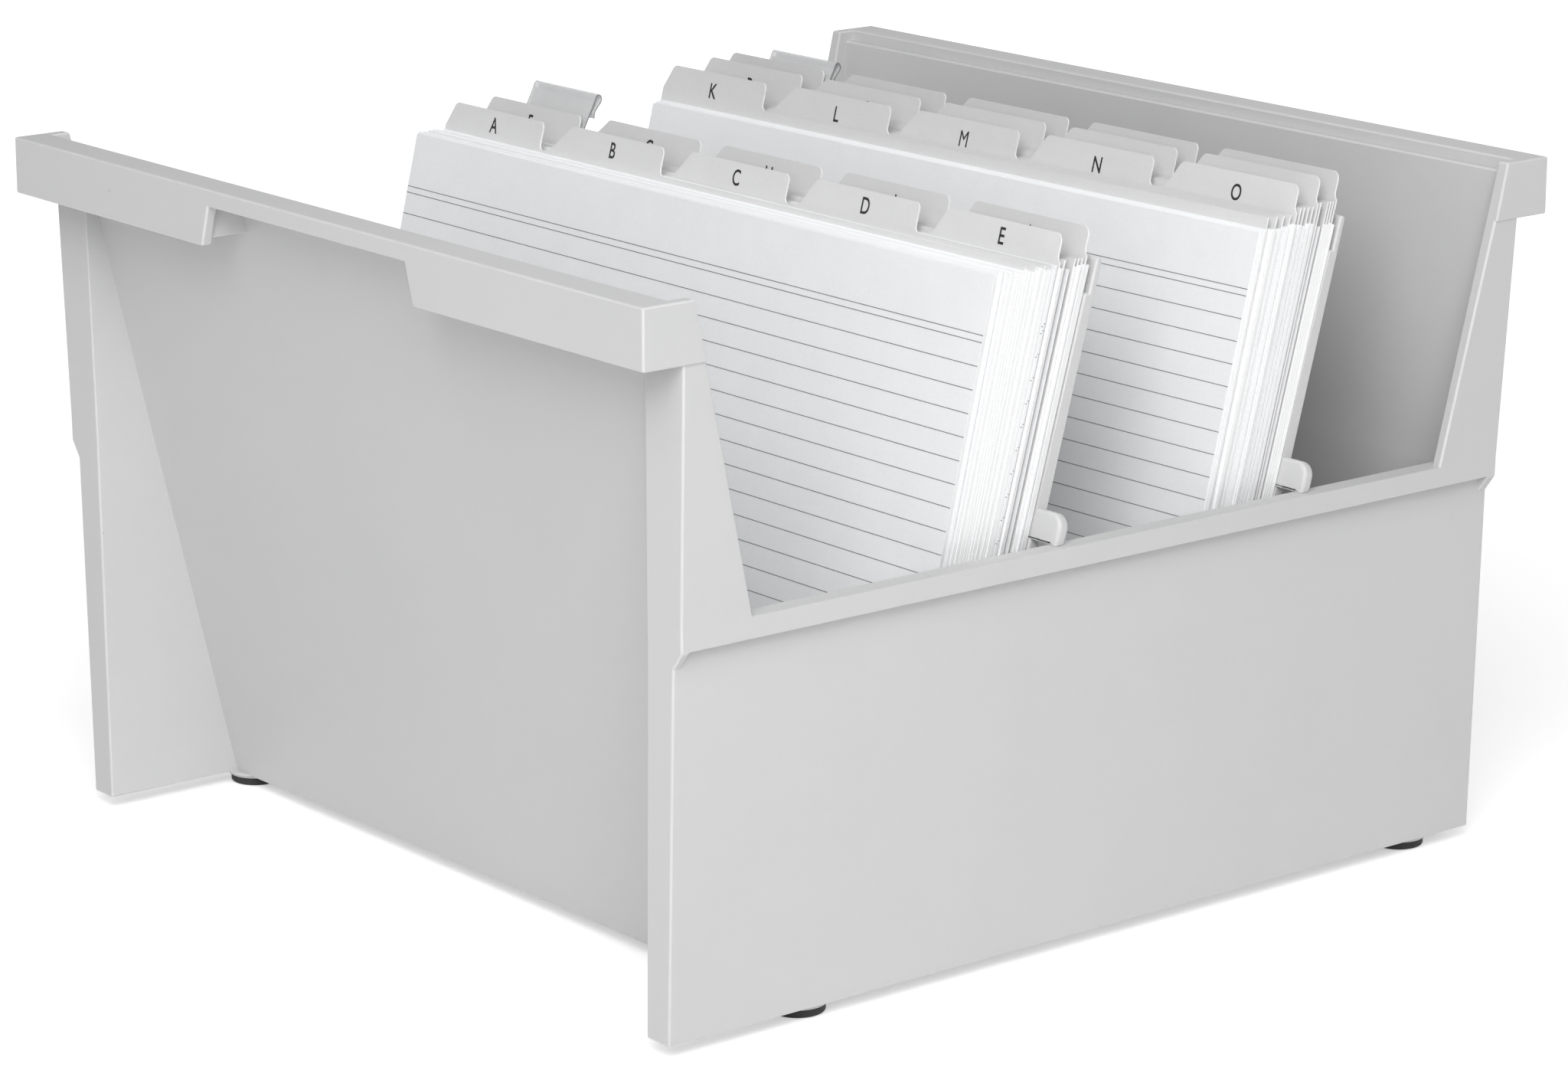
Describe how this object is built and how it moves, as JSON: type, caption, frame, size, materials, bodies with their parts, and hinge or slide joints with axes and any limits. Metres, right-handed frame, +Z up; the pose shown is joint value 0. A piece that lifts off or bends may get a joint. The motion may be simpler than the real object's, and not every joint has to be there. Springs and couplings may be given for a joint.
{
  "type": "index card trough",
  "caption": "Open desk trough for landscape index cards with leaning support plates, tabbed alphabet guides, ruled cards and clear label riders",
  "frame": {"origin": "on the desk, under the middle of the trough", "axes": "+X across the cards to the right, +Y from the front end to the rear end, +Z up"},
  "size_m": [0.2352, 0.2532, 0.1616],
  "materials": {
    "trough_plastic": "light grey moulded plastic with a fine matt grain",
    "plate_plastic": "light grey moulded plastic, matt",
    "rubber": "black rubber",
    "card_paper": "white ruled card",
    "guide_board": "pale grey index board with black letters",
    "clear_sheet": "clear bent plastic",
    "label_paper": "blank paper"
  },
  "bodies": {
    "trough": {"trough_body": "trough_plastic", "foot_1": "rubber", "foot_2": "rubber", "foot_3": "rubber", "foot_4": "rubber"},
    "plate_set_1": {"support_plate_1": "plate_plastic", "rider_card_1": "card_paper", "cards_1_before_h": "card_paper", "cards_1_before_i": "card_paper", "cards_1_before_j": "card_paper", "cards_1_last": "card_paper", "guide_f": "guide_board", "guide_g": "guide_board", "guide_h": "guide_board", "guide_i": "guide_board", "guide_j": "guide_board"},
    "tip_set_1": {"cards_1_before_a": "card_paper", "cards_1_before_b": "card_paper", "cards_1_before_c": "card_paper", "cards_1_before_d": "card_paper", "cards_1_before_e": "card_paper", "cards_1_before_f": "card_paper", "guide_a": "guide_board", "guide_b": "guide_board", "guide_c": "guide_board", "guide_d": "guide_board", "guide_e": "guide_board"},
    "front_card_1": {"front_card_1": "card_paper"},
    "rider_1": {"rider_1": "clear_sheet", "rider_label_1": "label_paper"},
    "plate_set_2": {"support_plate_2": "plate_plastic", "rider_card_2": "card_paper", "cards_2_before_u": "card_paper", "cards_2_among_p_to_t": "card_paper", "cards_2_among_v_to_z": "card_paper", "guide_p": "guide_board", "guide_q": "guide_board", "guide_r": "guide_board", "guide_s": "guide_board", "guide_t": "guide_board", "guide_u": "guide_board", "guide_v": "guide_board", "guide_w": "guide_board", "guide_xy": "guide_board", "guide_z": "guide_board"},
    "tip_set_2": {"cards_2_before_k": "card_paper", "cards_2_before_l": "card_paper", "cards_2_before_m": "card_paper", "cards_2_before_n": "card_paper", "cards_2_before_o": "card_paper", "cards_2_before_p": "card_paper", "guide_k": "guide_board", "guide_l": "guide_board", "guide_m": "guide_board", "guide_n": "guide_board", "guide_o": "guide_board"},
    "front_card_2": {"front_card_2": "card_paper"},
    "rider_2": {"rider_2": "clear_sheet", "rider_label_2": "label_paper"}
  },
  "joints": [
    {"name": "plate_1_slide", "type": "slide", "parent": "trough", "child": "plate_set_1", "axis": [0, 1, 0], "range_m": [-0.012, 0.006]},
    {"name": "pack_1_tip", "type": "hinge", "parent": "plate_set_1", "child": "tip_set_1", "pos_m": [0, -0.0598, 0.0058], "axis": [1, 0, 0], "range_deg": [0, 24]},
    {"name": "front_card_1_lift", "type": "slide", "parent": "tip_set_1", "child": "front_card_1", "axis": [0, 0.2351, 0.972], "range_m": [0, 0.06]},
    {"name": "rider_1_slide", "type": "slide", "parent": "plate_set_1", "child": "rider_1", "axis": [1, 0, 0], "range_m": [-0.014, 0.003]},
    {"name": "plate_2_slide", "type": "slide", "parent": "trough", "child": "plate_set_2", "axis": [0, 1, 0], "range_m": [-0.006, 0.025]},
    {"name": "pack_2_tip", "type": "hinge", "parent": "plate_set_2", "child": "tip_set_2", "pos_m": [0, 0.012, 0.0058], "axis": [1, 0, 0], "range_deg": [0, 12]},
    {"name": "front_card_2_lift", "type": "slide", "parent": "tip_set_2", "child": "front_card_2", "axis": [0, 0.2446, 0.9696], "range_m": [0, 0.06]},
    {"name": "rider_2_slide", "type": "slide", "parent": "plate_set_2", "child": "rider_2", "axis": [1, 0, 0], "range_m": [-0.014, 0.003]}
  ]
}
